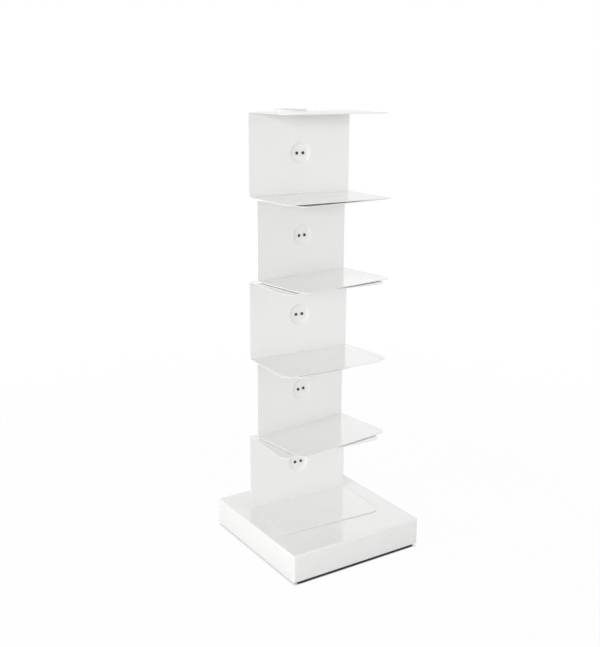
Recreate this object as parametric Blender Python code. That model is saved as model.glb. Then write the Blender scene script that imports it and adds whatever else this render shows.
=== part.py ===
"""Column bookcase: folded sheet-steel tiers, stacked on one round post, that swivel over a square base.

Metres, +Z up, front towards -Y. The origin is on the floor under the middle of the base.
Every tier is built in its own frame, whose origin is on the post's axis at the underside of its lower shelf.
"""

import math

import bmesh
import bpy
from mathutils import Matrix, Vector

# Tiers, counted from the bottom
TIER_TURNS_DEG = (-3.3, 6.7, -2.1, 7.3, -2.0)
SHELF_LIFTS = (0.0, 0.0, -0.0011, -0.0011, 0.0)
TIER_PITCH = 0.2795
TIER_GAP = 0.0019
FOOT_GAP = 0.001
TIER_WIDTH = 0.392
SHELF_DEPTH = 0.241
SHELF_CORNER_RADIUS = 0.030
SHEET = 0.003
BEND_RADIUS = 0.003

# Pressed dish in the middle of each back panel
DISH_FLOOR_RADIUS = 0.027
DISH_WALL_RUN = 0.014
DISH_DEPTH = 0.0055

# Screws that hold a tier to its sleeve, and the base together
SCREW_SPACING = 0.024
SCREW_RADIUS = 0.003
SCREW_HEAD_RADIUS = 0.00525
SCREW_HEAD_HEIGHT = 0.0033
SCREW_SOCKET = 0.004
SCREW_PROUD = 0.0015

# Fixed post and the sleeves that turn on it
POST_RADIUS = 0.04445
POST_WALL = 0.004
POST_RECESS = 0.014
CAP_PLATE = 0.003
CAP_SKIRT = 0.012
CAP_WALL = 0.002
BUSH_WALL = 0.00525
BUSH_FLANGE = 0.002
BUSH_LENGTH = 0.024
BUSH_RECESS = 0.002
SLEEVE_WALL = 0.0036
UNIT_RISE = 0.002
SADDLE_WEB = 0.0025
SADDLE_WIDTH = 0.056
SADDLE_HEIGHT = 0.050
SPACER_WALL = 0.005

# Base
BASE_SIDE = 0.520
BASE_HEIGHT = 0.0951
BASE_SHEET = 0.003
BASE_EDGE_RADIUS = 0.007
PLINTH_HEIGHT = 0.010
PLINTH_INSET_FRONT = 0.003
PLINTH_INSET_SIDE = 0.020
PLINTH_SEAT = 0.004
PLINTH_EDGE = 0.001
BALLAST_THICKNESS = 0.012
FLANGE_THICKNESS = 0.008
FLANGE_MARGIN = 0.0015
FLANGE_TO_WALL = 0.015
BOLT_COUNT = 4
BOLT_RADIUS = 0.004
BOLT_HEAD_RADIUS = 0.0065
BOLT_HEAD_HEIGHT = 0.008
BOLT_SOCKET = 0.006
BOLT_SHORT = 0.002
BRACKET_SPACING = 0.260
BRACKET_LENGTH = 0.060
BRACKET_RISE = 0.032
BRACKET_SHEET = 0.003
BRACKET_MARGIN = 0.014
BASE_SCREW_INSET = 0.016

# Clearances
SEAT = 0.0002
FIT = 0.0003
RUNNING = 0.0004

# Facets
ROUND = 32
DISH_SIDES = 28
DISH_RINGS = 4
SMALL_ROUND = 12
HOLE_SIDES = 10
BEND_STEPS = 3
CORNER_STEPS = 6

# Radii out from the post's axis
bush_inner = POST_RADIUS + RUNNING
bush_outer = bush_inner + BUSH_WALL
sleeve_inner = bush_outer + FIT
sleeve_outer = sleeve_inner + SLEEVE_WALL
spacer_inner = POST_RADIUS + FIT
spacer_outer = spacer_inner + SPACER_WALL
saddle_inner = sleeve_outer + FIT
saddle_front = saddle_inner + SADDLE_WEB
dish_front = saddle_front + SEAT + SHEET
panel_front = dish_front + DISH_DEPTH
bolt_circle = spacer_outer + BOLT_HEAD_RADIUS + FIT
flange_radius = bolt_circle + BOLT_HEAD_RADIUS + FLANGE_MARGIN

# Heights
base_top = PLINTH_HEIGHT + BASE_HEIGHT
ballast_low = PLINTH_HEIGHT + SEAT
ballast_top = ballast_low + BALLAST_THICKNESS
flange_low = ballast_top + SEAT
flange_top = flange_low + FLANGE_THICKNESS
tier_low = base_top + FOOT_GAP
stack_low = tier_low + UNIT_RISE
tier_height = TIER_PITCH - TIER_GAP
tier_middle = tier_height / 2
unit_top = UNIT_RISE + TIER_PITCH - RUNNING
post_top = stack_low + TIER_PITCH * len(TIER_TURNS_DEG) - POST_RECESS

# Places
base_inside = BASE_SIDE / 2 - BASE_SHEET
post_y = base_inside - FLANGE_TO_WALL - flange_radius
base_screw_x = BASE_SIDE / 2 - PLINTH_INSET_SIDE - BASE_SCREW_INSET

# Finishes: colour, roughness, metallic
WHITE_ENAMEL = ((0.83, 0.83, 0.84, 1.0), 0.32, 0.0)
BLACK_PLASTIC = ((0.012, 0.012, 0.013, 1.0), 0.55, 0.0)
BLACK_STEEL = ((0.015, 0.015, 0.017, 1.0), 0.38, 0.7)
PLAIN_STEEL = ((0.42, 0.42, 0.43, 1.0), 0.42, 1.0)
PALE_ACETAL = ((0.78, 0.78, 0.76, 1.0), 0.48, 0.0)


def clear_scene():
    """Removes whatever the scene starts with."""
    for obj in list(bpy.data.objects):
        bpy.data.objects.remove(obj, do_unlink=True)


def make_material(name, finish):
    """A Principled material with one colour, roughness and metallic value."""
    colour, roughness, metallic = finish
    material = bpy.data.materials.new(name)
    material.use_nodes = True
    shader = material.node_tree.nodes["Principled BSDF"]
    shader.inputs["Base Color"].default_value = colour
    shader.inputs["Roughness"].default_value = roughness
    shader.inputs["Metallic"].default_value = metallic
    material.diffuse_color = colour
    return material


def place(name, bm, finish=None, parent=None):
    """Turns a bmesh into a named object, with its finish, under its parent."""
    mesh = bpy.data.meshes.new(name)
    bm.to_mesh(mesh)
    bm.free()
    obj = bpy.data.objects.new(name, mesh)
    bpy.context.scene.collection.objects.link(obj)
    obj.parent = parent
    if finish is not None:
        mesh.materials.append(make_material(name + "_finish", finish))
    return obj


def thicken(obj, thickness):
    """Gives a folded sheet its thickness on the side away from its normals."""
    modifier = obj.modifiers.new("sheet", "SOLIDIFY")
    modifier.thickness = thickness
    modifier.offset = -1.0
    modifier.use_even_offset = True
    return obj


def cut(obj, cutter):
    """Takes the cutter's shape out of the object."""
    modifier = obj.modifiers.new(cutter.name, "BOOLEAN")
    modifier.operation = "DIFFERENCE"
    modifier.solver = "EXACT"
    modifier.object = cutter
    cutter.hide_render = True
    cutter.display_type = "WIRE"


def circle(bm, radius, sides, at, hexagon=False):
    """One ring of points round Z at the place given; a hexagonal ring has its flats at the radius."""
    ring = []
    for step in range(sides):
        angle = 2 * math.pi * step / sides
        reach = radius
        if hexagon:
            reach = radius / math.cos((angle % (math.pi / 3)) - math.pi / 6)
        ring.append(bm.verts.new((at[0] + reach * math.cos(angle), at[1] + reach * math.sin(angle), at[2])))
    return ring


def upright_circle(bm, radius, sides, at):
    """One ring of points round Y at the place given."""
    angles = [2 * math.pi * step / sides for step in range(sides)]
    return [bm.verts.new((at[0] + radius * math.cos(a), at[1], at[2] + radius * math.sin(a))) for a in angles]


def skin(bm, lower, upper):
    """Quads between two rings; seen from outside, the second ring lies above the first."""
    count = len(lower)
    for step in range(count):
        after = (step + 1) % count
        bm.faces.new((lower[step], lower[after], upper[after], upper[step]))


def turned_solid(rings, sides):
    """A revolved solid from (radius, height, hexagon) rings, bottom to top along its outside."""
    bm = bmesh.new()
    made = [circle(bm, radius, sides, (0, 0, height), hexagon) for radius, height, hexagon in rings]
    for lower, upper in zip(made, made[1:]):
        skin(bm, lower, upper)
    bm.faces.new(list(reversed(made[0])))
    bm.faces.new(made[-1])
    return bm


def turned_ring(profile, sides=ROUND):
    """A revolved ring from a closed (radius, height) profile that runs counter-clockwise, with +X out."""
    bm = bmesh.new()
    made = [circle(bm, radius, sides, (0, 0, height)) for radius, height in profile]
    for lower, upper in zip(made, made[1:] + made[:1]):
        skin(bm, lower, upper)
    return bm


def tube(inner, outer, low, high):
    """A plain tube round Z."""
    return turned_ring([(outer, low), (outer, high), (inner, high), (inner, low)])


def screw(radius, length, head_radius, head_height, socket, domed):
    """A socket-head screw along Z: its seat at zero, its head above, its shank below."""
    chamfer = radius / 4
    depth = head_height * 0.6
    rings = [(radius, -length, False), (radius, 0, False), (head_radius, 0, False)]
    if domed:
        rings.append((head_radius, head_height / 3, False))
        rings.append((socket / 2 / math.cos(math.pi / 6) + chamfer, head_height, False))
    else:
        rings.append((head_radius, head_height - chamfer, False))
        rings.append((head_radius - chamfer, head_height, False))
    rings.append((socket / 2, head_height, True))
    rings.append((socket / 2, head_height - depth, True))
    return turned_solid(rings, SMALL_ROUND)


def drills(centres, radius, low, high, sides=HOLE_SIDES):
    """Round cutters along Z, one at each centre."""
    bm = bmesh.new()
    for x, y in centres:
        lower = circle(bm, radius, sides, (x, y, low))
        upper = circle(bm, radius, sides, (x, y, high))
        skin(bm, lower, upper)
        bm.faces.new(list(reversed(lower)))
        bm.faces.new(upper)
    return bm


def block(side_x, side_y, low, high):
    """A rectangular plate, centred on Z."""
    bm = bmesh.new()
    bmesh.ops.create_cube(bm, size=1.0)
    size = Matrix.Diagonal((side_x, side_y, high - low, 1.0))
    bm.transform(Matrix.Translation((0, 0, (low + high) / 2)) @ size)
    return bm


def arc(centre, radius, start_deg, end_deg, steps):
    """Points on an arc in a plane."""
    points = []
    for step in range(steps + 1):
        angle = math.radians(start_deg + (end_deg - start_deg) * step / steps)
        points.append((centre[0] + radius * math.cos(angle), centre[1] + radius * math.sin(angle)))
    return points


def edge_loop(bm, ring):
    """The closed row of edges through a ring's points."""
    return [bm.edges.get(pair) or bm.edges.new(pair) for pair in zip(ring, ring[1:] + ring[:1])]


def face_towards(bm, face, direction):
    """Makes an open sheet's normals agree, with this face's towards the direction."""
    bmesh.ops.recalc_face_normals(bm, faces=bm.faces[:])
    bm.normal_update()
    if face.normal.dot(direction) < 0:
        bmesh.ops.reverse_faces(bm, faces=bm.faces[:])


def bend_rows(bm, bend, half):
    """A bend across the sheet: rows of a left and a right point, joined by quads."""
    rows = [(bm.verts.new((-half, y, z)), bm.verts.new((half, y, z))) for y, z in bend]
    for (left, right), (next_left, next_right) in zip(rows, rows[1:]):
        bm.faces.new((left, right, next_right, next_left))
    return rows


def shelf_plate(bm, row, front):
    """A shelf that runs from its bend to a front edge with two rounded corners."""
    left, right = row
    inset = TIER_WIDTH / 2 - SHELF_CORNER_RADIUS
    middle = front + SHELF_CORNER_RADIUS
    outline = arc((-inset, middle), SHELF_CORNER_RADIUS, 180, 270, CORNER_STEPS)
    outline += arc((inset, middle), SHELF_CORNER_RADIUS, 270, 360, CORNER_STEPS)
    points = [bm.verts.new((x, y, left.co.z)) for x, y in outline]
    return bm.faces.new([left] + points + [right])


def dish(bm, back):
    """The pressed dish with its two screw holes; returns the edges of its rim."""
    rings = []
    for step in range(DISH_RINGS + 1):
        share = step / DISH_RINGS
        radius = DISH_FLOOR_RADIUS + DISH_WALL_RUN * share
        depth = DISH_DEPTH * (1 - share * share * (3 - 2 * share))
        rings.append(upright_circle(bm, radius, DISH_SIDES, (0, back + depth, tier_middle)))
    for inner, outer in zip(rings, rings[1:]):
        skin(bm, inner, outer)
    floor = edge_loop(bm, rings[0])
    for side in (-1, 1):
        centre = (side * SCREW_SPACING / 2, back + DISH_DEPTH, tier_middle)
        floor += edge_loop(bm, upright_circle(bm, SCREW_RADIUS + FIT, HOLE_SIDES, centre))
    bmesh.ops.triangle_fill(bm, edges=floor, use_beauty=True)
    return edge_loop(bm, rings[-1])


def shelf_sheet():
    """The inner face of one tier: lower shelf, bend, back panel with its dish, bend, upper shelf."""
    bm = bmesh.new()
    half = TIER_WIDTH / 2
    back = -panel_front
    front = back - SHELF_DEPTH
    low = SHEET
    high = tier_height - SHEET
    crease = back - BEND_RADIUS
    lower = bend_rows(bm, arc((crease, low + BEND_RADIUS), BEND_RADIUS, -90, 0, BEND_STEPS), half)
    upper = bend_rows(bm, arc((crease, high - BEND_RADIUS), BEND_RADIUS, 0, 90, BEND_STEPS), half)
    floor = shelf_plate(bm, lower[0], front)
    shelf_plate(bm, upper[-1], front)
    panel = [lower[-1][0], lower[-1][1], upper[0][1], upper[0][0]]
    bmesh.ops.triangle_fill(bm, edges=edge_loop(bm, panel) + dish(bm, back), use_beauty=True)
    face_towards(bm, floor, Vector((0, 0, 1)))
    return bm


def saddle():
    """A block with a flat front for the dish and a hollow back that fits round the sleeve."""
    bm = bmesh.new()
    half = SADDLE_WIDTH / 2
    reach = math.degrees(math.asin(half / saddle_inner))
    outline = [(-half, -saddle_front), (half, -saddle_front)]
    outline += arc((0, 0), saddle_inner, reach - 90, -reach - 90, CORNER_STEPS)
    low = tier_middle - SADDLE_HEIGHT / 2
    lower = [bm.verts.new((x, y, low)) for x, y in outline]
    upper = [bm.verts.new((x, y, low + SADDLE_HEIGHT)) for x, y in outline]
    skin(bm, lower, upper)
    bm.faces.new(list(reversed(lower)))
    bm.faces.new(upper)
    return bm


def flanged_bush(low):
    """The bush at a sleeve's lower end; its flange carries the sleeve and runs on the one below."""
    shelf = low + BUSH_FLANGE
    high = low + BUSH_LENGTH
    profile = [(bush_inner, low), (sleeve_outer, low), (sleeve_outer, shelf)]
    profile += [(bush_outer, shelf), (bush_outer, high), (bush_inner, high)]
    return turned_ring(profile)


def build_tier(number, turn_deg, lift):
    """One tier with its sleeve, bushes, saddle and screws, under an empty on the post's axis.

    The sheet, its saddle and its screws sit on the sleeve higher by the lift.
    """
    name = "tier_%d" % number
    pivot = bpy.data.objects.new(name + "_swivel", None)
    bpy.context.scene.collection.objects.link(pivot)
    pivot.location = (0, post_y, tier_low + TIER_PITCH * (number - 1))
    pivot.rotation_euler = (0, 0, math.radians(turn_deg))

    raised = Matrix.Translation((0, 0, lift))
    bm = shelf_sheet()
    bm.transform(raised)
    thicken(place(name + "_shelf", bm, WHITE_ENAMEL, pivot), SHEET)

    bm = tube(sleeve_inner, sleeve_outer, UNIT_RISE + BUSH_FLANGE + SEAT, unit_top)
    sleeve = place(name + "_sleeve", bm, WHITE_ENAMEL, pivot)
    place(name + "_bush_low", flanged_bush(UNIT_RISE), PALE_ACETAL, pivot)
    bush_top = unit_top - BUSH_RECESS
    bm = tube(bush_inner, bush_outer, bush_top - BUSH_LENGTH, bush_top)
    place(name + "_bush_high", bm, PALE_ACETAL, pivot)
    bm = saddle()
    bm.transform(raised)
    block_piece = place(name + "_saddle", bm, WHITE_ENAMEL, pivot)

    sides = (("left", -SCREW_SPACING / 2), ("right", SCREW_SPACING / 2))
    lying = raised @ Matrix.Translation((0, 0, tier_middle)) @ Matrix.Rotation(math.pi / 2, 4, "X")
    holes = drills([(x, 0) for _, x in sides], SCREW_RADIUS + FIT, bush_inner, panel_front)
    holes.transform(lying)
    cutter = place(name + "_drill", holes, parent=pivot)
    cut(sleeve, cutter)
    cut(block_piece, cutter)
    wall = math.sqrt(sleeve_inner ** 2 - (SCREW_SPACING / 2) ** 2)
    length = dish_front + SEAT - wall + SCREW_PROUD
    for side, x in sides:
        bm = screw(SCREW_RADIUS, length, SCREW_HEAD_RADIUS, SCREW_HEAD_HEIGHT, SCREW_SOCKET, True)
        bm.transform(lying @ Matrix.Translation((x, 0, dish_front + SEAT)))
        place(name + "_screw_" + side, bm, BLACK_STEEL, pivot)


def bracket(side, y):
    """A bent angle that ties the cover's side wall to the ballast plate; its outer faces touch both."""
    bm = bmesh.new()
    wall = base_inside - SEAT
    floor = ballast_top + SEAT
    radius = BRACKET_SHEET + BEND_RADIUS
    path = [(wall, floor + BRACKET_RISE)]
    path += arc((wall - radius, floor + radius), radius, 0, -90, BEND_STEPS)
    path.append((base_screw_x - BRACKET_MARGIN, floor))
    ends = (y - BRACKET_LENGTH / 2, y + BRACKET_LENGTH / 2)
    rows = [[bm.verts.new((side * x, end, z)) for end in ends] for x, z in path]
    faces = [bm.faces.new((a[0], a[1], b[1], b[0])) for a, b in zip(rows, rows[1:])]
    face_towards(bm, faces[0], Vector((side, 0, 0)))
    return bm


def cover():
    """The base's box, open below, as the outer face of its sheet with rounded edges."""
    bm = block(BASE_SIDE, BASE_SIDE, PLINTH_HEIGHT + SEAT, base_top)
    bm.normal_update()
    bmesh.ops.delete(bm, geom=[face for face in bm.faces if face.normal.z < -0.5], context="FACES")
    folds = [edge for edge in bm.edges if not edge.is_boundary]
    bmesh.ops.bevel(bm, geom=folds, offset=BASE_EDGE_RADIUS, segments=BEND_STEPS, profile=0.5, affect="EDGES")
    return bm


def build_base():
    """The weighted base: plinth, ballast plate, brackets, cover, and the screws from below."""
    plinth_width = BASE_SIDE - 2 * PLINTH_INSET_SIDE
    plinth_depth = BASE_SIDE - 2 * PLINTH_INSET_FRONT
    ballast_side = 2 * (base_inside - FIT)
    bm = block(plinth_width, plinth_depth, 0, PLINTH_HEIGHT)
    bmesh.ops.bevel(bm, geom=bm.edges[:], offset=PLINTH_EDGE, segments=1, affect="EDGES")
    plinth = place("base_plinth", bm, BLACK_PLASTIC)
    bm = block(ballast_side, ballast_side, ballast_low, ballast_top)
    corners = [edge for edge in bm.edges if abs(edge.verts[0].co.z - edge.verts[1].co.z) > SEAT]
    bmesh.ops.bevel(bm, geom=corners, offset=BASE_EDGE_RADIUS, segments=BEND_STEPS, profile=0.5, affect="EDGES")
    ballast = place("base_ballast", bm, PLAIN_STEEL)
    shell = thicken(place("base_cover", cover(), WHITE_ENAMEL), BASE_SHEET)

    margin = 2 * BASE_SHEET
    opening = drills([(0, post_y)], spacer_outer + FIT, base_top - margin, base_top + margin, ROUND)
    cut(shell, place("cover_opening", opening))

    seats = [(x, y) for x in (-1, 1) for y in (-1, 1)]
    centres = [(x * base_screw_x, y * BRACKET_SPACING / 2) for x, y in seats]
    bracket_top = ballast_top + SEAT + BRACKET_SHEET
    through = place("base_screw_drill", drills(centres, SCREW_RADIUS + FIT, -margin, bracket_top + margin))
    head_seat = PLINTH_HEIGHT - PLINTH_SEAT
    pocket = place("base_screw_pocket", drills(centres, SCREW_HEAD_RADIUS + 2 * FIT, -margin, head_seat))
    cut(plinth, through)
    cut(plinth, pocket)
    cut(ballast, through)
    length = bracket_top + SCREW_PROUD - head_seat + SEAT
    for number, (seat, centre) in enumerate(zip(seats, centres), 1):
        angle = place("base_bracket_%d" % number, bracket(seat[0], centre[1]), PLAIN_STEEL)
        cut(thicken(angle, BRACKET_SHEET), through)
        bm = screw(SCREW_RADIUS, length, SCREW_HEAD_RADIUS, SCREW_HEAD_HEIGHT, SCREW_SOCKET, True)
        turned = Matrix.Rotation(math.pi, 4, "X")
        bm.transform(Matrix.Translation((*centre, head_seat - SEAT)) @ turned)
        place("base_screw_%d" % number, bm, BLACK_STEEL)
    return ballast


def build_post(ballast):
    """The fixed post on its bolted flange, the spacer that carries the sleeves, and the cap."""
    stand = Matrix.Translation((0, post_y, 0))
    bm = turned_solid([(flange_radius, flange_low, False), (flange_radius, flange_top, False)], ROUND)
    bm.transform(stand)
    flange = place("post_flange", bm, PLAIN_STEEL)
    angles = [2 * math.pi * (step + 0.5) / BOLT_COUNT for step in range(BOLT_COUNT)]
    centres = [(bolt_circle * math.cos(a), post_y + bolt_circle * math.sin(a)) for a in angles]
    holes = drills(centres, BOLT_RADIUS + FIT, PLINTH_HEIGHT, flange_top + FLANGE_THICKNESS)
    cutter = place("post_bolt_drill", holes)
    cut(flange, cutter)
    cut(ballast, cutter)
    length = flange_top + SEAT - ballast_low - BOLT_SHORT
    for number, (x, y) in enumerate(centres, 1):
        bm = screw(BOLT_RADIUS, length, BOLT_HEAD_RADIUS, BOLT_HEAD_HEIGHT, BOLT_SOCKET, False)
        bm.transform(Matrix.Translation((x, y, flange_top + SEAT)))
        place("post_bolt_%d" % number, bm, BLACK_STEEL)

    post_inner = POST_RADIUS - POST_WALL
    bm = tube(post_inner, POST_RADIUS, flange_top + SEAT, post_top)
    bm.transform(stand)
    place("post_tube", bm, PLAIN_STEEL)
    bm = tube(spacer_inner, spacer_outer, flange_top + SEAT, stack_low - RUNNING)
    bm.transform(stand)
    place("post_spacer", bm, PLAIN_STEEL)

    plate = post_top + SEAT
    skirt = post_inner - FIT
    rings = [(skirt - CAP_WALL, plate), (skirt - CAP_WALL, plate - CAP_SKIRT), (skirt, plate - CAP_SKIRT)]
    rings += [(skirt, plate), (POST_RADIUS, plate), (POST_RADIUS, plate + CAP_PLATE)]
    bm = turned_solid([(radius, height, False) for radius, height in rings], ROUND)
    bm.transform(stand)
    place("post_cap", bm, BLACK_PLASTIC)


def main():
    """Builds the bookcase from the floor up."""
    clear_scene()
    build_post(build_base())
    for number, (turn_deg, lift) in enumerate(zip(TIER_TURNS_DEG, SHELF_LIFTS), 1):
        build_tier(number, turn_deg, lift)


main()
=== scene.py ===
"""Looks of the column bookcase: camera, studio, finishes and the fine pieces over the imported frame.

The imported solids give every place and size. This file dresses them: the folded tiers, the sleeves,
the screws and the base get finer meshes made from numpy grids, and every other node gets its finish.
Metres, +Z up, front towards -Y, as in the frame.
"""

import logging
import math
from dataclasses import dataclass, field
from enum import Enum

import bpy
import numpy as np
from mathutils import Matrix


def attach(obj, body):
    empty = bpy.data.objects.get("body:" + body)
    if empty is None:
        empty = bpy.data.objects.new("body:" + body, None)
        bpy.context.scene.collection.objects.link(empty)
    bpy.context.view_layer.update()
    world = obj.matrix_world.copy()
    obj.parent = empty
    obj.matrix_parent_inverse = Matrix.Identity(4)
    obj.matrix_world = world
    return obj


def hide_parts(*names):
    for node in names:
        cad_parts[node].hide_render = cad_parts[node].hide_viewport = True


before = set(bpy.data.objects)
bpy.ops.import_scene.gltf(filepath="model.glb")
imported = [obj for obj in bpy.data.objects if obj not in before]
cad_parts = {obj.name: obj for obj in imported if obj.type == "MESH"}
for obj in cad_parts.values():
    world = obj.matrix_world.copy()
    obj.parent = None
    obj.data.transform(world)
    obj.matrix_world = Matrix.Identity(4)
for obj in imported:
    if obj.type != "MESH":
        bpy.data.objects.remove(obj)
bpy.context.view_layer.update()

logging.basicConfig(level=logging.INFO, format="%(message)s")
LOG = logging.getLogger("bookcase")

MM = 0.001
PHOTO_WIDTH = 600
PHOTO_HEIGHT = 647
# A noise seldom leaves this range, so colour and gloss are spread over it.
PATTERN_RANGE = (0.3, 0.7)
# The rounding of a corner takes at most this share of each side next to it.
CORNER_SHARE = 0.45


class Slot(Enum):
    """The record's material slots."""

    WHITE = "white_enamel"
    PLASTIC = "black_plastic"
    BLACK = "black_steel"
    STEEL = "plain_steel"
    ACETAL = "pale_acetal"


class Pattern(Enum):
    """How a surface was made, which sets the pattern that its finish draws."""

    SPRAYED = "sprayed"
    MOULDED = "moulded"
    BLACKENED = "blackened"
    DRAWN = "drawn"
    TURNED = "turned"
    ROLLED = "rolled"


def linear(code: str) -> tuple[float, float, float, float]:
    """Turns an sRGB hex colour into Blender's linear values.

    Args:
        code: Six hex digits.

    Returns:
        Linear red, green and blue, and an opacity of one.
    """
    parts = np.array([int(code[i : i + 2], 16) for i in (0, 2, 4)]) / 255
    low = parts / 12.92
    high = ((parts + 0.055) / 1.055) ** 2.4
    red, green, blue = np.where(parts <= 0.04045, low, high)
    return float(red), float(green), float(blue), 1.0


def add_node(
    tree: bpy.types.NodeTree, kind: str, links: dict | None = None, **settings: object
) -> bpy.types.Node:
    """Adds one shader node.

    Args:
        tree: The node tree that takes the node.
        kind: Blender's node type name.
        links: Input name or index to an output socket, or to a constant for that input.
        settings: Properties of the node itself.

    Returns:
        The new node.
    """
    node = tree.nodes.new(kind)
    for name, value in settings.items():
        setattr(node, name, value)
    for name, value in (links or {}).items():
        if isinstance(value, bpy.types.NodeSocket):
            tree.links.new(value, node.inputs[name])
        else:
            node.inputs[name].default_value = value
    return node


@dataclass(frozen=True)
class Finish:
    """One real surface: what it is made of, how it was made and what that gives the eye."""

    name: str
    slot: Slot
    pattern: Pattern
    light: str
    dark: str
    roughness: tuple[float, float]
    metallic: float = 0.0
    coat: float = 0.0
    coat_roughness: float = 0.03
    grain_mm: tuple[float, float, float] = (2.0, 2.0, 2.0)
    cloud_mm: float = 60.0
    relief_mm: float = 0.01

    def material(self) -> bpy.types.Material:
        """Builds the finish once and hands the same material out afterwards.

        Returns:
            A procedural material that reads Object coordinates, with its pattern in real millimetres.
        """
        found = bpy.data.materials.get(self.name)
        if found is not None:
            return found
        made = bpy.data.materials.new(self.name)
        made.use_nodes = True
        tree = made.node_tree
        tree.nodes.clear()
        place = add_node(tree, "ShaderNodeTexCoord").outputs["Object"]
        fine = self._grain(tree, place)
        # Slow clouds keep a large plain face from being one flat value.
        clouds = {"Vector": place, "Scale": 1 / (self.cloud_mm * MM), "Detail": 3.0}
        cloud = add_node(tree, "ShaderNodeTexNoise", clouds).outputs["Fac"]
        both = add_node(tree, "ShaderNodeMath", {0: fine, 1: cloud}, operation="ADD").outputs[0]
        half = add_node(tree, "ShaderNodeMath", {0: both, 1: 0.5}, operation="MULTIPLY").outputs[0]
        tone = add_node(tree, "ShaderNodeValToRGB", {"Fac": half})
        ends = zip(tone.color_ramp.elements, PATTERN_RANGE, (self.dark, self.light))
        for element, position, colour in ends:
            element.position = position
            element.color = linear(colour)
        start, stop = PATTERN_RANGE
        low, high = self.roughness
        spread = {"Value": half, "From Min": start, "From Max": stop, "To Min": low, "To Max": high}
        gloss = add_node(tree, "ShaderNodeMapRange", spread).outputs["Result"]
        bumps = {"Height": fine, "Strength": 1.0, "Distance": self.relief_mm * MM}
        relief = add_node(tree, "ShaderNodeBump", bumps).outputs["Normal"]
        shader = add_node(
            tree,
            "ShaderNodeBsdfPrincipled",
            {
                "Base Color": tone.outputs["Color"],
                "Roughness": gloss,
                "Normal": relief,
                "Metallic": self.metallic,
                "Coat Weight": self.coat,
                "Coat Roughness": self.coat_roughness,
            },
        )
        add_node(tree, "ShaderNodeOutputMaterial", {"Surface": shader.outputs["BSDF"]})
        made.diffuse_color = linear(self.light)
        return made

    def _grain(self, tree: bpy.types.NodeTree, place: bpy.types.NodeSocket) -> bpy.types.NodeSocket:
        """Draws the fine pattern of the making.

        Args:
            tree: The material's node tree.
            place: Object coordinates in metres.

        Returns:
            A value around 0.5 that colour, gloss and relief share.
        """
        scale = tuple(1 / (size * MM) for size in self.grain_mm)
        sized = add_node(tree, "ShaderNodeMapping", {"Vector": place, "Scale": scale}).outputs["Vector"]
        if self.pattern is Pattern.TURNED:
            wave = {"Vector": sized, "Scale": 1.0, "Distortion": 0.6, "Detail": 2.0}
            return add_node(tree, "ShaderNodeTexWave", wave, bands_direction="Z").outputs["Fac"]
        if self.pattern is Pattern.ROLLED:
            spots = {"Vector": sized, "Scale": 1.0, "Randomness": 1.0}
            mill_scale = add_node(tree, "ShaderNodeTexVoronoi", spots, feature="SMOOTH_F1")
            return mill_scale.outputs["Distance"]
        detail = 6.0 if self.pattern in (Pattern.DRAWN, Pattern.BLACKENED) else 2.0
        noise = {"Vector": sized, "Scale": 1.0, "Detail": detail, "Roughness": 0.55}
        return add_node(tree, "ShaderNodeTexNoise", noise).outputs["Fac"]


# Sprayed and baked gloss enamel: mirrors its surroundings at a low angle, over faint orange peel.
WHITE_ENAMEL = Finish(
    "baked_white_gloss_enamel_on_folded_steel",
    Slot.WHITE,
    Pattern.SPRAYED,
    light="F9F9F8",
    dark="F5F5F4",
    roughness=(0.1, 0.18),
    coat=0.6,
    coat_roughness=0.04,
    grain_mm=(2.6, 2.6, 2.6),
    cloud_mm=90.0,
    relief_mm=0.01,
)
# Moulded black polymer with a fine matt grain, for the plinth and the post's cap. The plinth is a real
# part,
# # and its black front face just inside the base's edge is painted shade for the dark gap under the
# base.
BLACK_POLYMER_AND_GAP_SHADE = Finish(
    "moulded_black_polymer_and_painted_gap_shade",
    Slot.PLASTIC,
    Pattern.MOULDED,
    light="1B1B1C",
    dark="111112",
    roughness=(0.5, 0.66),
    grain_mm=(0.9, 0.9, 0.9),
    cloud_mm=25.0,
    relief_mm=0.05,
)
# Blackened screw steel: dark, a little metallic, with a mottled oxide.
BLACK_OXIDE = Finish(
    "black_oxide_screw_steel",
    Slot.BLACK,
    Pattern.BLACKENED,
    light="525255",
    dark="3A3A3C",
    roughness=(0.32, 0.5),
    metallic=0.75,
    grain_mm=(0.35, 0.35, 0.35),
    cloud_mm=3.0,
    relief_mm=0.006,
)
# Drawn tube steel: long streaks down the tube from the die.
DRAWN_STEEL = Finish(
    "drawn_steel_tube",
    Slot.STEEL,
    Pattern.DRAWN,
    light="B4B5B7",
    dark="97989A",
    roughness=(0.3, 0.46),
    metallic=1.0,
    grain_mm=(0.7, 0.7, 60.0),
    cloud_mm=45.0,
    relief_mm=0.008,
)
# Hot-rolled plate: grey mill scale in soft patches.
ROLLED_STEEL = Finish(
    "hot_rolled_steel_plate",
    Slot.STEEL,
    Pattern.ROLLED,
    light="8C8F93",
    dark="62656A",
    roughness=(0.42, 0.62),
    metallic=0.9,
    grain_mm=(9.0, 9.0, 9.0),
    cloud_mm=35.0,
    relief_mm=0.02,
)
# Turned acetal: milky plastic with the fine rings of the lathe.
TURNED_ACETAL = Finish(
    "turned_natural_acetal",
    Slot.ACETAL,
    Pattern.TURNED,
    light="ECEBE6",
    dark="DEDDD7",
    roughness=(0.38, 0.5),
    grain_mm=(4.0, 4.0, 0.8),
    cloud_mm=15.0,
    relief_mm=0.02,
)


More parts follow.
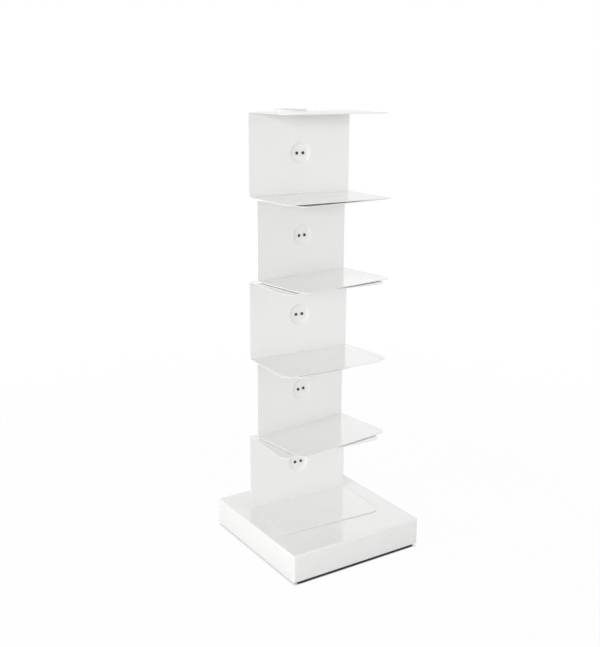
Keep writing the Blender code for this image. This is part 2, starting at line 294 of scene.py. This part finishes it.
def ring_faces(rows: int, columns: int, close_rows: bool, close_columns: bool) -> np.ndarray:
    """Quads of a grid of points stored row by row.

    Quad (i, j) joins points (i, j), (i, j+1), (i+1, j+1) and (i+1, j). Numbers wrap where the grid
    is closed.

    Args:
        rows: Number of rows.
        columns: Number of points in a row.
        close_rows: Whether the last row joins the first.
        close_columns: Whether the last point of a row joins its first.

    Returns:
        An array of four point numbers per quad.
    """
    i = np.arange(rows if close_rows else rows - 1)[:, None]
    j = np.arange(columns if close_columns else columns - 1)[None, :]
    below = i * columns
    above = (i + 1) % rows * columns
    after = (j + 1) % columns
    return np.stack([below + j, below + after, above + after, above + j], axis=-1).reshape(-1, 4)


def ring_cap(first: int, count: int, outwards: bool) -> np.ndarray:
    """Quads that close a flat ring of points.

    Strip k joins points k, k+1, n-2-k and n-1-k of the ring, for k from 0 to n/2 - 2.

    Args:
        first: Number of the ring's first point.
        count: Number of points in the ring, an even number.
        outwards: Whether the cap faces the way the ring's rows run.

    Returns:
        An array of four point numbers per quad.
    """
    k = np.arange(count // 2 - 1)
    strips = first + np.stack([k, k + 1, count - 2 - k, count - 1 - k], axis=1)
    return strips if outwards else strips[:, ::-1]


def soft_corners(points: np.ndarray, radius: float, steps: int = 4) -> np.ndarray:
    """Rounds every corner of a closed profile.

    A corner P with neighbours A and B becomes the quadratic curve (1-t)^2 P1 + 2t(1-t) P + t^2 P2,
    where P1 and P2 lie at the radius from P towards A and B, and t runs from 0 to 1.

    Args:
        points: Corner points, one per row, in order.
        radius: Distance from a corner at which the rounding starts.
        steps: Points per corner, less one.

    Returns:
        The rounded profile, one point per row.
    """
    before = np.roll(points, 1, axis=0) - points
    after = np.roll(points, -1, axis=0) - points
    reach_before = np.linalg.norm(before, axis=1, keepdims=True)
    reach_after = np.linalg.norm(after, axis=1, keepdims=True)
    near = points + before / reach_before * np.minimum(radius, reach_before * CORNER_SHARE)
    far = points + after / reach_after * np.minimum(radius, reach_after * CORNER_SHARE)
    t = np.linspace(0, 1, steps + 1)[None, :, None]
    curve = (1 - t) ** 2 * near[:, None] + 2 * t * (1 - t) * points[:, None] + t**2 * far[:, None]
    return curve.reshape(-1, points.shape[1])


@dataclass
class Piece:
    """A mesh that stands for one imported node."""

    node: str
    body: str
    finish: Finish
    smooth_deg: float = 35.0

    def grid(self) -> tuple[np.ndarray, np.ndarray]:
        """Points and quads of the piece in the row frame.

        Returns:
            An array of points and an array of quads.
        """
        raise NotImplementedError

    def build(self) -> bpy.types.Object:
        """Makes the object, puts its finish on it and lets it ride in place of the node.

        Returns:
            The new object.
        """
        points, quads = self.grid()
        mesh = bpy.data.meshes.new(self.node + "_fine")
        mesh.from_pydata(points.tolist(), [], quads.tolist())
        mesh.validate()
        mesh.polygons.foreach_set("use_smooth", np.ones(len(mesh.polygons), bool))
        mesh.set_sharp_from_angle(angle=math.radians(self.smooth_deg))
        mesh.materials.append(self.finish.material())
        obj = bpy.data.objects.new(self.node + "_fine", mesh)
        bpy.context.scene.collection.objects.link(obj)
        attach(obj, self.body)
        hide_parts(self.node)
        LOG.info("%s: %d quads, %s", obj.name, len(quads), self.finish.name)
        return obj


@dataclass
class Post:
    """The upright that everything turns on."""

    y: float = 177.45 * MM
    sleeve_outer: float = 54.0 * MM
    sleeve_inner: float = 50.4 * MM

    def place(self, points: np.ndarray, turn_deg: float, z: float) -> np.ndarray:
        """Moves points from a frame on the post's axis to the row frame.

        Args:
            points: Points with their origin on the axis, one per row.
            turn_deg: Turn about the axis, counter-clockwise from above.
            z: Height of that frame's origin.

        Returns:
            The points in the row frame: R(turn) p + (0, y, z).
        """
        turn = np.array(Matrix.Rotation(math.radians(turn_deg), 3, "Z"))
        return points @ turn.T + np.array([0.0, self.y, z])


POST = Post()


@dataclass
class FoldedTier(Piece):
    """One tier: a single sheet bent into a C, with a pressed dish in its back panel.

    Fields that end in _lines count grid lines. Those of the dish reach past its rim by dish_margin.
    """

    turn_deg: float = 0.0
    z: float = 0.0
    width: float = 392 * MM
    depth: float = 241 * MM
    height: float = 277.6 * MM
    sheet: float = 3.0 * MM
    bend: float = 3.0 * MM
    corner: float = 30 * MM
    panel: float = 65.5 * MM
    dish_floor: float = 27 * MM
    dish_run: float = 14 * MM
    dish_depth: float = 5.5 * MM
    edge: float = 0.3 * MM
    edge_deg: float = 60.0
    dish_margin: float = 1.04
    dish_lines: int = 27
    plain_lines: int = 9
    panel_lines: int = 8
    corner_lines: int = 15
    bend_lines: int = 7
    side_strip: float = 3.0 * MM
    side_line: float = 1.2 * MM
    front_line: float = 0.9 * MM
    corner_start: float = 1.5 * MM
    bend_line: float = 0.5 * MM

    def grid(self) -> tuple[np.ndarray, np.ndarray]:
        """Sweeps the C section across the width.

        The inner face is G(s) + u w(s) X for u from -1 to 1, where G runs along lower shelf, bend,
        panel, bend and upper shelf. The half width w(s) is W/2 - R + R sin a on the rounded corners,
        where the distance from the front edge is R (1 - cos a), and W/2 elsewhere. The outer face is
        the inner one less the sheet's thickness along the section's normal. On the panel both move back
        by d (1 - k^2 (3 - 2k)), with k from 0 at the dish's floor to 1 at its rim.

        Returns:
            An array of points and an array of quads.
        """
        section, normal, half, flat = self._section()
        across = self._across()
        rows, columns = len(section), len(across)
        x = across[None, :] * half[:, None]
        inner = np.empty((rows, columns, 3))
        inner[..., 0] = x
        inner[..., 1:] = section[:, None, :]
        out = np.zeros((rows, columns, 3))
        out[..., 1:] = normal[:, None, :]
        reach = np.hypot(x, section[:, 1][:, None] - self.height / 2)
        k = np.clip((reach - self.dish_floor) / self.dish_run, 0, 1)
        press = self.dish_depth * (1 - k * k * (3 - 2 * k)) * flat[:, None]
        inner[..., 1] += press
        outer = inner - self.sheet * out
        count = rows * columns
        points = np.concatenate([inner.reshape(-1, 3), outer.reshape(-1, 3)])
        front = ring_faces(rows, columns, False, False)
        back = front[:, ::-1] + count
        grid = np.arange(count).reshape(rows, columns)
        rim = np.concatenate([grid[0, :-1], grid[:-1, -1], grid[-1, :0:-1], grid[:0:-1, 0]])
        after = np.roll(rim, -1)
        wall = np.stack([after, rim, rim + count, after + count], axis=1)
        return POST.place(points, self.turn_deg, self.z), np.concatenate([front, back, wall])

    def _across(self) -> np.ndarray:
        """Places of the grid lines across the sheet, close over the dish and at both edges.

        Returns:
            Values from -1 to 1.
        """
        reach = (self.dish_floor + self.dish_run) * self.dish_margin
        dish = np.linspace(0, reach, self.dish_lines)
        rest = np.linspace(reach, self.width / 2 - self.side_strip, self.plain_lines)[1:]
        edge = self.width / 2 - np.array([self.side_line, 0.0])
        right = np.concatenate([dish, rest, edge]) / (self.width / 2)
        return np.concatenate([-right[:0:-1], right])

    def _section(self) -> tuple[np.ndarray, np.ndarray, np.ndarray, np.ndarray]:
        """Samples the C section from the lower front edge round to the upper one.

        Returns:
            Points (y, z), normals towards the inside, half widths, and 1 for samples on the panel.
        """
        back, low, high = -self.panel, self.sheet, self.height - self.sheet
        a = np.linspace(0, math.pi / 2, self.corner_lines)
        start = np.array([0.0, self.front_line])
        round_in = self.corner * (1 - np.cos(a))
        inset = np.concatenate([start, round_in[round_in > self.corner_start]])
        flat_end = self.depth - self.bend
        rest = np.linspace(self.corner, flat_end - self.bend_line, self.plain_lines)[1:]
        away = np.concatenate([inset, rest, [flat_end]])
        shelf_half = np.full(len(away), self.width / 2)
        on_corner = away < self.corner
        rise = np.sqrt(np.maximum(self.corner**2 - (self.corner - away) ** 2, 0))
        shelf_half[on_corner] = (self.width / 2 - self.corner + rise)[on_corner]
        shelf_y = back - self.depth + away
        bend = np.linspace(-math.pi / 2, 0, self.bend_lines)[1:]
        bend_y = back - self.bend + self.bend * np.cos(bend)
        bend_z = low + self.bend * (1 + np.sin(bend))
        lower_bend = np.stack([bend_y, bend_z], axis=1)
        both_ways = np.linspace(-1, 1, 2 * self.dish_lines - 1)
        dish = both_ways * (self.dish_floor + self.dish_run) * self.dish_margin + self.height / 2
        below = np.linspace(low + self.bend + self.bend_line, dish[0], self.panel_lines)[:-1]
        above = np.linspace(dish[-1], high - self.bend - self.bend_line, self.panel_lines)[1:]
        panel_z = np.concatenate([below, dish, above])
        panel = np.stack([np.full(len(panel_z), back), panel_z], axis=1)
        flip = np.array([1.0, -1.0])
        lower = np.concatenate([np.stack([shelf_y, np.full(len(away), low)], axis=1), lower_bend])
        upper = lower[::-1] * flip + np.array([0.0, self.height])
        lower_normal = np.concatenate(
            [np.tile([0.0, 1.0], (len(away), 1)), np.stack([-np.cos(bend), -np.sin(bend)], axis=1)]
        )
        upper_normal = lower_normal[::-1] * flip
        section = np.concatenate([lower, panel, upper])
        normal = np.concatenate([lower_normal, np.tile([-1.0, 0.0], (len(panel), 1)), upper_normal])
        side = np.concatenate([shelf_half, np.full(len(bend), self.width / 2)])
        half = np.concatenate([side, np.full(len(panel), self.width / 2), side[::-1]])
        flat = np.concatenate([np.zeros(len(lower)), np.ones(len(panel)), np.zeros(len(upper))])
        return section, normal, half, flat

    def build(self) -> bpy.types.Object:
        """Builds the sheet and breaks its cut edges.

        Returns:
            The new object.
        """
        obj = super().build()
        bevel = obj.modifiers.new("broken_edge", "BEVEL")
        bevel.width = self.edge
        bevel.segments = 2
        bevel.limit_method = "ANGLE"
        bevel.angle_limit = math.radians(self.edge_deg)
        bevel.harden_normals = True
        return obj


@dataclass
class TurnedRing(Piece):
    """A ring or tube round the post, from a closed profile with softened corners."""

    profile: np.ndarray = field(default_factory=lambda: np.zeros((0, 2)))
    turn_deg: float = 0.0
    soften: float = 0.5 * MM
    sides: int = 96

    def grid(self) -> tuple[np.ndarray, np.ndarray]:
        """Revolves the profile: point (r, z) becomes (r cos a, r sin a, z) for a from 0 to a full turn.

        Returns:
            An array of points and an array of quads.
        """
        profile = soft_corners(self.profile, self.soften)
        a = np.linspace(0, 2 * math.pi, self.sides, endpoint=False)
        points = np.empty((len(profile), self.sides, 3))
        points[..., 0] = profile[:, :1] * np.cos(a)
        points[..., 1] = profile[:, :1] * np.sin(a)
        points[..., 2] = profile[:, 1:]
        quads = ring_faces(len(profile), self.sides, True, True)
        return POST.place(points.reshape(-1, 3), self.turn_deg, 0.0), quads


@dataclass
class SocketScrew(Piece):
    """A screw with a domed head and a hexagon socket."""

    seat: Matrix = field(default_factory=Matrix)
    length: float = 12.75 * MM
    radius: float = 3 * MM
    head: float = 5.25 * MM
    rise: float = 3.3 * MM
    socket: float = 4 * MM
    pitch: float = 1.0 * MM
    sides: int = 48
    shank_rings: int = 40
    dome_rings: int = 9
    runout: float = 0.6 * MM
    neck: float = 0.3 * MM
    land_width: float = 0.6 * MM
    broken: float = 0.15 * MM
    chamfer: float = 0.12 * MM
    fillet: float = 0.1 * MM
    drilled: float = 0.2 * MM
    thread_share: float = 0.3
    tip_share: float = 0.75
    depth_share: float = 0.4
    floor_share: float = 0.9
    centre_share: float = 0.02

    def grid(self) -> tuple[np.ndarray, np.ndarray]:
        """Revolves the screw with a hexagon inside.

        A ring of radius r and hexagon share h has radius (1 - h) r + h r / cos(((a + 30) mod 60) - 30),
        with a in degrees, so that r is then half the width across the flats. The thread is a helix: the
        shank's radius falls by q pitch (1 - |2 f - 1|), with q the thread share and f the fraction of
        z / pitch + a / 360.
        Each row of a ring table holds radius, height, hexagon share and thread share.

        Returns:
            An array of points and an array of quads.
        """
        end = -self.length
        shank = np.zeros((self.shank_rings, 4))
        shank[:, 0] = self.radius
        shank[:, 1] = np.linspace(end, -self.runout, self.shank_rings)
        shank[:, 3] = 1
        inner, outer = self.centre_share * self.radius, self.tip_share * self.radius
        tip = np.array([[inner, end, 0, 0], [outer, end, 0, 0]])
        flat, floor = self.socket / 2, self.rise * self.depth_share
        land = flat / math.cos(math.pi / 6) + self.land_width
        foot = self.rise / 4
        t = np.linspace(0, math.pi / 2, self.dome_rings)
        dome = np.zeros((self.dome_rings, 4))
        dome[:, 0] = land + (self.head - land) * np.cos(t)
        dome[:, 1] = foot + (self.rise - foot) * np.sin(t)
        under = np.array(
            [
                [self.radius, -self.neck, 0, 0],
                [self.radius, 0, 0, 0],
                [self.head - self.broken, 0, 0, 0],
                [self.head, self.broken, 0, 0],
            ]
        )
        hole = np.array(
            [
                [flat + self.chamfer, self.rise, 1, 0],
                [flat, self.rise - self.broken, 1, 0],
                [flat, floor + self.fillet, 1, 0],
                [flat * self.floor_share, floor, 1, 0],
                [flat * self.centre_share, floor - self.drilled, 0, 0],
            ]
        )
        rings = np.concatenate([tip, shank, under, dome, hole])
        a = np.linspace(0, 2 * math.pi, self.sides, endpoint=False)[None, :]
        six = 1 / np.cos((a + math.pi / 6) % (math.pi / 3) - math.pi / 6)
        share = rings[:, 2:3]
        turn = (rings[:, 1:2] / self.pitch + a / (2 * math.pi)) % 1.0
        cut = self.thread_share * self.pitch * (1 - np.abs(2 * turn - 1)) * rings[:, 3:4]
        r = rings[:, :1] * (1 - share + share * six) - cut
        height = np.broadcast_to(rings[:, 1:2], r.shape)
        points = np.stack([r * np.cos(a), r * np.sin(a), height], axis=-1)
        seat = np.array(self.seat)
        placed = points.reshape(-1, 3) @ seat[:3, :3].T + seat[:3, 3]
        tube = ring_faces(len(rings), self.sides, False, True)
        point = ring_cap(0, self.sides, False)
        bottom = ring_cap((len(rings) - 1) * self.sides, self.sides, True)
        return placed, np.concatenate([tube, point, bottom])


@dataclass
class BoxShell(Piece):
    """The base's cover: a folded box, open below, with rounded edges and an opening for the post."""

    side: float = 520 * MM
    low: float = 10.2 * MM
    top: float = 105.1 * MM
    sheet: float = 3 * MM
    edge: float = 7 * MM
    opening: float = 50.05 * MM
    least: float = 0.3 * MM
    hem: float = 0.6 * MM
    edge_line: float = 0.5 * MM
    steps: int = 8
    run_lines: int = 14

    def grid(self) -> tuple[np.ndarray, np.ndarray]:
        """Rings of a rounded square, carried over the outside and back under the inside.

        A ring at inset d is the square of half side S/2 - d whose corners have radius e - d, or the
        least radius where that is more. Over the top the ring runs straight to the opening:
        (1 - t) P + t (c + R (P - c) / |P - c|).

        Returns:
            An array of points and an array of quads.
        """
        t = np.linspace(0, math.pi / 2, self.steps)
        fold = np.stack([self.edge * (1 - np.sin(t)), self.top - self.edge * (1 - np.cos(t))], axis=1)
        flat = np.array([[self.edge + self.edge_line, self.top]])
        wall_top = self.top - self.edge - self.edge_line
        wall = np.array([[0.0, wall_top], [0.0, self.low + self.hem], [self.least, self.low]])
        inner = np.array([[self.sheet, self.low], [self.sheet, self.top - self.sheet]])
        outside = np.concatenate([flat, fold, wall, inner])
        rings = np.stack([self._ring(inset, z) for inset, z in outside])
        centre = np.array([0.0, POST.y])
        share = np.linspace(0, 1, self.run_lines)[1:, None, None]
        upper = self._to_opening(rings[0], centre, share[::-1], self.top)
        lower = self._to_opening(rings[-1], centre, share, self.top - self.sheet)
        rows = np.concatenate([upper, rings, lower])
        quads = ring_faces(len(rows), rows.shape[1], True, True)
        return rows.reshape(-1, 3), quads[:, ::-1]

    def _ring(self, inset: float, z: float) -> np.ndarray:
        """One rounded square.

        Args:
            inset: Distance in from the outside.
            z: Height.

        Returns:
            Points of the ring, counter-clockwise from above.
        """
        half = self.side / 2 - inset
        radius = max(self.edge - inset, self.least)
        a = np.linspace(0, math.pi / 2, self.steps)
        arc = np.stack([np.cos(a), np.sin(a)], axis=1) * radius + (half - radius)
        near = half - radius - self.edge_line
        along = np.linspace(near, -near, self.run_lines)
        run = np.stack([along, np.full(self.run_lines, half)], axis=1)
        quarter = np.concatenate([arc, run])
        turns = [np.array([[c, -s], [s, c]]) for c, s in ((1, 0), (0, 1), (-1, 0), (0, -1))]
        flat = np.concatenate([quarter @ turn.T for turn in turns])
        return np.column_stack([flat, np.full(len(flat), z)])

    def _to_opening(
        self, ring: np.ndarray, centre: np.ndarray, share: np.ndarray, z: float
    ) -> np.ndarray:
        """Rings between a rounded square and the round opening.

        Args:
            ring: The square's points.
            centre: Centre of the opening.
            share: How far each ring is on its way, shaped (n, 1, 1).
            z: Height of them all.

        Returns:
            The rings, shaped (n, points, 3).
        """
        away = ring[:, :2] - centre
        rim = centre + self.opening * away / np.linalg.norm(away, axis=1, keepdims=True)
        flat = (1 - share) * ring[None, :, :2] + share * rim[None]
        return np.concatenate([flat, np.full(flat.shape[:2] + (1,), z)], axis=-1)


@dataclass
class Tier:
    """One tier's sheet, sleeve and screws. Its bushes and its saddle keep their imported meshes."""

    number: int
    turn_deg: float
    lift: float
    base_top: float = 105.1 * MM
    pitch: float = 279.5 * MM
    gap: float = 1.9 * MM
    foot_gap: float = 1.0 * MM
    rise: float = 2.0 * MM
    running: float = 0.4 * MM
    flange: float = 2.0 * MM
    seat: float = 0.2 * MM
    dish_front: float = 60 * MM
    screw_gap: float = 24 * MM

    def build(self) -> None:
        """Builds the sheet, then the sleeve, then the two screws."""
        name = f"tier_{self.number}"
        z = self.base_top + self.foot_gap + self.pitch * (self.number - 1)
        sheet_z = z + self.lift
        FoldedTier(name + "_shelf", name, WHITE_ENAMEL, turn_deg=self.turn_deg, z=sheet_z).build()
        low = z + self.rise
        high = low + self.pitch - self.running
        foot = low + self.flange + self.seat
        inside, outside = POST.sleeve_inner, POST.sleeve_outer
        tube = np.array([(inside, foot), (outside, foot), (outside, high), (inside, high)])
        TurnedRing(name + "_sleeve", name, WHITE_ENAMEL, profile=tube, turn_deg=self.turn_deg).build()
        middle = sheet_z + (self.pitch - self.gap) / 2
        turn = Matrix.Rotation(math.radians(self.turn_deg), 4, "Z")
        pivot = Matrix.Translation((0, POST.y, middle)) @ turn
        lying = pivot @ Matrix.Rotation(math.pi / 2, 4, "X")
        for side, x in (("left", -self.screw_gap / 2), ("right", self.screw_gap / 2)):
            node = f"{name}_screw_{side}"
            seat = lying @ Matrix.Translation((x, 0, self.dish_front + self.seat))
            SocketScrew(node, name, BLACK_OXIDE, seat=seat).build()


def looking(
    at: tuple[float, float, float], back: tuple[float, float, float], roll: float
) -> Matrix:
    """A matrix for a camera or lamp that looks along -back, level but for its roll.

    Args:
        at: Its place.
        back: Unit direction from the subject to it.
        roll: Turn about the line of sight, in radians.

    Returns:
        The object's world matrix.
    """
    behind = np.array(back)
    right = np.cross([0.0, 0.0, 1.0], behind)
    right /= np.linalg.norm(right)
    up = np.cross(behind, right)
    turned_right = right * math.cos(roll) + up * math.sin(roll)
    turned_up = up * math.cos(roll) - right * math.sin(roll)
    made = Matrix.Identity(4)
    columns = (turned_right, turned_up, behind, at)
    for column, values in enumerate(columns):
        for row in range(3):
            made[row][column] = float(values[row])
    return made


@dataclass(frozen=True)
class Lamp:
    """A soft rectangular lamp that hangs at one place and looks at another."""

    name: str
    at: tuple[float, float, float]
    to: tuple[float, float, float]
    size: tuple[float, float]
    watts: float
    mirrored: bool = True
    lights: bool = True

    def build(self) -> None:
        """Hangs the lamp, out of the camera's sight."""
        data = bpy.data.lights.new(self.name, "AREA")
        data.shape = "RECTANGLE"
        data.size, data.size_y = self.size
        data.energy = self.watts
        obj = bpy.data.objects.new(self.name, data)
        away = np.array(self.at) - np.array(self.to)
        obj.matrix_world = looking(self.at, tuple(away / np.linalg.norm(away)), 0.0)
        obj.visible_camera = False
        obj.visible_glossy = self.mirrored
        obj.visible_diffuse = self.lights
        bpy.context.scene.collection.objects.link(obj)


# The gloss would mirror the key and the front lamp as white patches, so neither shows in it.
# The slim strip shows only in the gloss, where it gives the sleeves their sheen.
LAMPS = (
    Lamp("key", (-4.4, -0.15, 1.7), (0.0, 0.0, 0.7), (1.6, 1.6), 65.6, mirrored=False),
    Lamp("front", (-5.5, -6.0, 2.2), (0.0, 0.0, 0.7), (2.4, 1.6), 198.6, mirrored=False),
    Lamp("rear", (3.27, 5.03, 3.0), (0.0, 0.0, 0.4), (4.0, 1.6), 6.4),
    Lamp("strip", (-2.4, 2.2, 0.9), (0.0, 0.0, 0.75), (0.3, 1.8), 6.5, lights=False),
)


@dataclass
class Studio:
    """A plain white floor, a white room a little brighter on the right, and soft lamps."""

    floor_rings: tuple[float, ...] = (0.02, 1.0, 2.5, 5.0, 9.0)
    floor_sides: int = 96
    fade: tuple[float, float] = (1.1, 2.6)
    base_half: float = 260 * MM
    side_gap: float = 20 * MM
    blend: float = 2 * MM
    glow: float = 0.97
    paper: tuple[str, str] = ("DCDCDC", "E2E2E2")
    paper_mm: float = 2.5
    room: float = 0.629
    room_lean: tuple[float, float, float] = (0.233, 0.0, 0.0)
    horizon_rise: tuple[float, float] = (0.02, 0.1)
    horizon_level: tuple[float, float] = (0.86, 1.0)

    def build(self) -> None:
        """Makes the floor, the world and the lamps."""
        self._floor()
        self._world()
        for lamp in LAMPS:
            lamp.build()

    def _floor(self) -> None:
        """A large round floor: point (i, j) lies at radius r_i and angle a_j."""
        a = np.linspace(0, 2 * math.pi, self.floor_sides, endpoint=False)
        radii = np.array(self.floor_rings)
        points = np.zeros((len(radii), self.floor_sides, 3))
        points[..., 0] = radii[:, None] * np.cos(a)
        points[..., 1] = radii[:, None] * np.sin(a)
        quads = ring_faces(len(radii), self.floor_sides, False, True)[:, ::-1]
        mesh = bpy.data.meshes.new("floor")
        mesh.from_pydata(points.reshape(-1, 3).tolist(), [], quads.tolist())
        mesh.materials.append(self._floor_material())
        obj = bpy.data.objects.new("floor", mesh)
        bpy.context.scene.collection.objects.link(obj)

    def _seen(self, tree: bpy.types.NodeTree) -> bpy.types.NodeSocket:
        """One where the eye, a reflection or a clear piece looks, and nought where light is gathered.

        Args:
            tree: The node tree that takes the nodes.

        Returns:
            The value's socket.
        """
        path = add_node(tree, "ShaderNodeLightPath").outputs
        looks = {0: path["Is Camera Ray"], 1: path["Is Glossy Ray"]}
        pair = add_node(tree, "ShaderNodeMath", looks, operation="MAXIMUM").outputs[0]
        every = {0: pair, 1: path["Is Transmission Ray"]}
        return add_node(tree, "ShaderNodeMath", every, operation="MAXIMUM").outputs[0]

    def _floor_material(self) -> bpy.types.Material:
        """Matt white paper that looks almost as bright as the background, with a faint shadow.

        Under the base's front and back it is plain paper, so that the gap there stays dark. At the
        sides the glow reaches in as far as the plinth, which is painted light in the side gaps.

        Returns:
            The floor's material.
        """
        made = bpy.data.materials.new("matt_white_paper_floor")
        made.use_nodes = True
        tree = made.node_tree
        tree.nodes.clear()
        place = add_node(tree, "ShaderNodeTexCoord").outputs["Object"]
        reach = add_node(tree, "ShaderNodeVectorMath", {0: place}, operation="LENGTH").outputs["Value"]
        near, far = self.fade
        edge = {"Value": reach, "From Min": near, "From Max": far}
        fade = add_node(tree, "ShaderNodeMapRange", edge).outputs["Result"]
        positive = add_node(tree, "ShaderNodeVectorMath", {0: place}, operation="ABSOLUTE")
        sides = add_node(tree, "ShaderNodeSeparateXYZ", {0: positive.outputs["Vector"]}).outputs
        outside = {"From Max": self.base_half + self.blend, "To Max": self.glow}
        # At the sides the glow starts under the base, at the plinth: painted light in the side gaps.
        beside = {"Value": sides["X"], "From Min": self.base_half - self.side_gap, **outside}
        before = {"Value": sides["Y"], "From Min": self.base_half - self.blend, **outside}
        left_right = add_node(tree, "ShaderNodeMapRange", beside).outputs["Result"]
        front_back = add_node(tree, "ShaderNodeMapRange", before).outputs["Result"]
        either = {0: left_right, 1: front_back}
        glow_outside_base_and_in_side_gaps = add_node(tree, "ShaderNodeMath", either, operation="MAXIMUM").outputs[0]
        both = {0: glow_outside_base_and_in_side_gaps, 1: self._seen(tree)}
        share = add_node(tree, "ShaderNodeMath", both, operation="MULTIPLY").outputs[0]
        tooth = {"Vector": place, "Scale": 1 / (self.paper_mm * MM), "Detail": 2.0}
        paper = add_node(tree, "ShaderNodeTexNoise", tooth).outputs["Fac"]
        tone = add_node(tree, "ShaderNodeValToRGB", {"Fac": paper})
        for element, colour in zip(tone.color_ramp.elements, self.paper):
            element.color = linear(colour)
        matt = add_node(tree, "ShaderNodeBsdfDiffuse", {"Color": tone.outputs["Color"]}).outputs["BSDF"]
        white = add_node(tree, "ShaderNodeEmission", {"Strength": 1.0}).outputs["Emission"]
        bright = add_node(tree, "ShaderNodeMixShader", {0: share, 1: matt, 2: white}).outputs["Shader"]
        clear = add_node(tree, "ShaderNodeBsdfTransparent").outputs["BSDF"]
        mixed = add_node(tree, "ShaderNodeMixShader", {0: fade, 1: bright, 2: clear}).outputs["Shader"]
        add_node(tree, "ShaderNodeOutputMaterial", {"Surface": mixed})
        return made

    def _world(self) -> None:
        """White to look at, a little less near the horizon in reflections, and a soft room to light by.

        The room's level is room + lean . d in the direction d.
        """
        world = bpy.data.worlds.new("studio")
        bpy.context.scene.world = world
        world.use_nodes = True
        tree = world.node_tree
        tree.nodes.clear()
        towards = add_node(tree, "ShaderNodeTexCoord").outputs["Generated"]
        along = {0: towards, 1: self.room_lean}
        lean = add_node(tree, "ShaderNodeVectorMath", along, operation="DOT_PRODUCT").outputs["Value"]
        level = add_node(tree, "ShaderNodeMath", {0: lean, 1: self.room}, operation="ADD").outputs[0]
        white = {"Color": (1, 1, 1, 1)}
        height = add_node(tree, "ShaderNodeSeparateXYZ", {0: towards}).outputs["Z"]
        start, stop = self.horizon_rise
        low, high = self.horizon_level
        rise = {"Value": height, "From Min": start, "From Max": stop, "To Min": low, "To Max": high}
        mirrored = add_node(tree, "ShaderNodeMapRange", rise).outputs["Result"]
        looked = add_node(tree, "ShaderNodeLightPath").outputs["Is Camera Ray"]
        either = {0: looked, 1: mirrored}
        shown = add_node(tree, "ShaderNodeMath", either, operation="MAXIMUM").outputs[0]
        seen = add_node(tree, "ShaderNodeBackground", {**white, "Strength": shown})
        lit = add_node(tree, "ShaderNodeBackground", {**white, "Strength": level})
        parts = {0: self._seen(tree), 1: lit.outputs["Background"], 2: seen.outputs["Background"]}
        mixed = add_node(tree, "ShaderNodeMixShader", parts)
        add_node(tree, "ShaderNodeOutputWorld", {"Surface": mixed.outputs["Shader"]})


@dataclass
class PhotoCamera:
    """The camera of the photograph, from a fit of the object's straight edges."""

    at: tuple[float, float, float] = (-1.74, -2.5722, 1.6102)
    azimuth_deg: float = -32.946
    pitch_deg: float = 14.732
    roll_deg: float = 0.325
    focal_px: float = 937.2
    sensor_mm: float = 36.0
    clip: tuple[float, float] = (0.05, 60.0)

    def build(self) -> None:
        """Makes the camera and gives it to the scene."""
        data = bpy.data.cameras.new("photo_camera")
        data.sensor_width = self.sensor_mm
        data.lens = self.focal_px / max(PHOTO_WIDTH, PHOTO_HEIGHT) * self.sensor_mm
        data.clip_start, data.clip_end = self.clip
        a, e = math.radians(self.azimuth_deg), math.radians(self.pitch_deg)
        back = (math.sin(a) * math.cos(e), -math.cos(a) * math.cos(e), math.sin(e))
        obj = bpy.data.objects.new("photo_camera", data)
        obj.matrix_world = looking(self.at, back, math.radians(self.roll_deg))
        bpy.context.scene.collection.objects.link(obj)
        bpy.context.scene.camera = obj
        bpy.context.scene.view_settings.view_transform = "Standard"


@dataclass
class Bookcase:
    """The whole object: base, post and tiers."""

    turns_deg: tuple[float, ...] = (-3.3, 6.7, -2.1, 7.3, -2.0)
    lifts: tuple[float, ...] = (0.0, 0.0, -1.1 * MM, -1.1 * MM, 0.0)

    def build(self) -> None:
        """Builds the fine pieces and puts a finish on every node that stays."""
        BoxShell("base_cover", "base", WHITE_ENAMEL).build()
        for number, (turn_deg, lift) in enumerate(zip(self.turns_deg, self.lifts), 1):
            Tier(number, turn_deg, lift).build()
        for name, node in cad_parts.items():
            if node.hide_render:
                continue
            finish = self._finish_of(name)
            node.data.materials.clear()
            node.data.materials.append(finish.material())
            LOG.info("%s: packed node, %s", name, finish.name)

    def _finish_of(self, name: str) -> Finish:
        """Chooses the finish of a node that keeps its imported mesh.

        Args:
            name: The node's name.

        Returns:
            Its finish.
        """
        # The plinth's black front face is painted shade for the gap under the base.
        if name in ("base_plinth", "post_cap"):
            return BLACK_POLYMER_AND_GAP_SHADE
        if "screw" in name or "bolt" in name:
            return BLACK_OXIDE
        if "bush" in name:
            return TURNED_ACETAL
        if name in ("post_tube", "post_spacer"):
            return DRAWN_STEEL
        if name.endswith("saddle"):
            return WHITE_ENAMEL
        return ROLLED_STEEL


def main() -> None:
    """Dresses the frame and sets up the photograph's view."""
    Bookcase().build()
    Studio().build()
    PhotoCamera().build()
    bpy.context.view_layer.update()


if __name__ == "__main__":
    main()
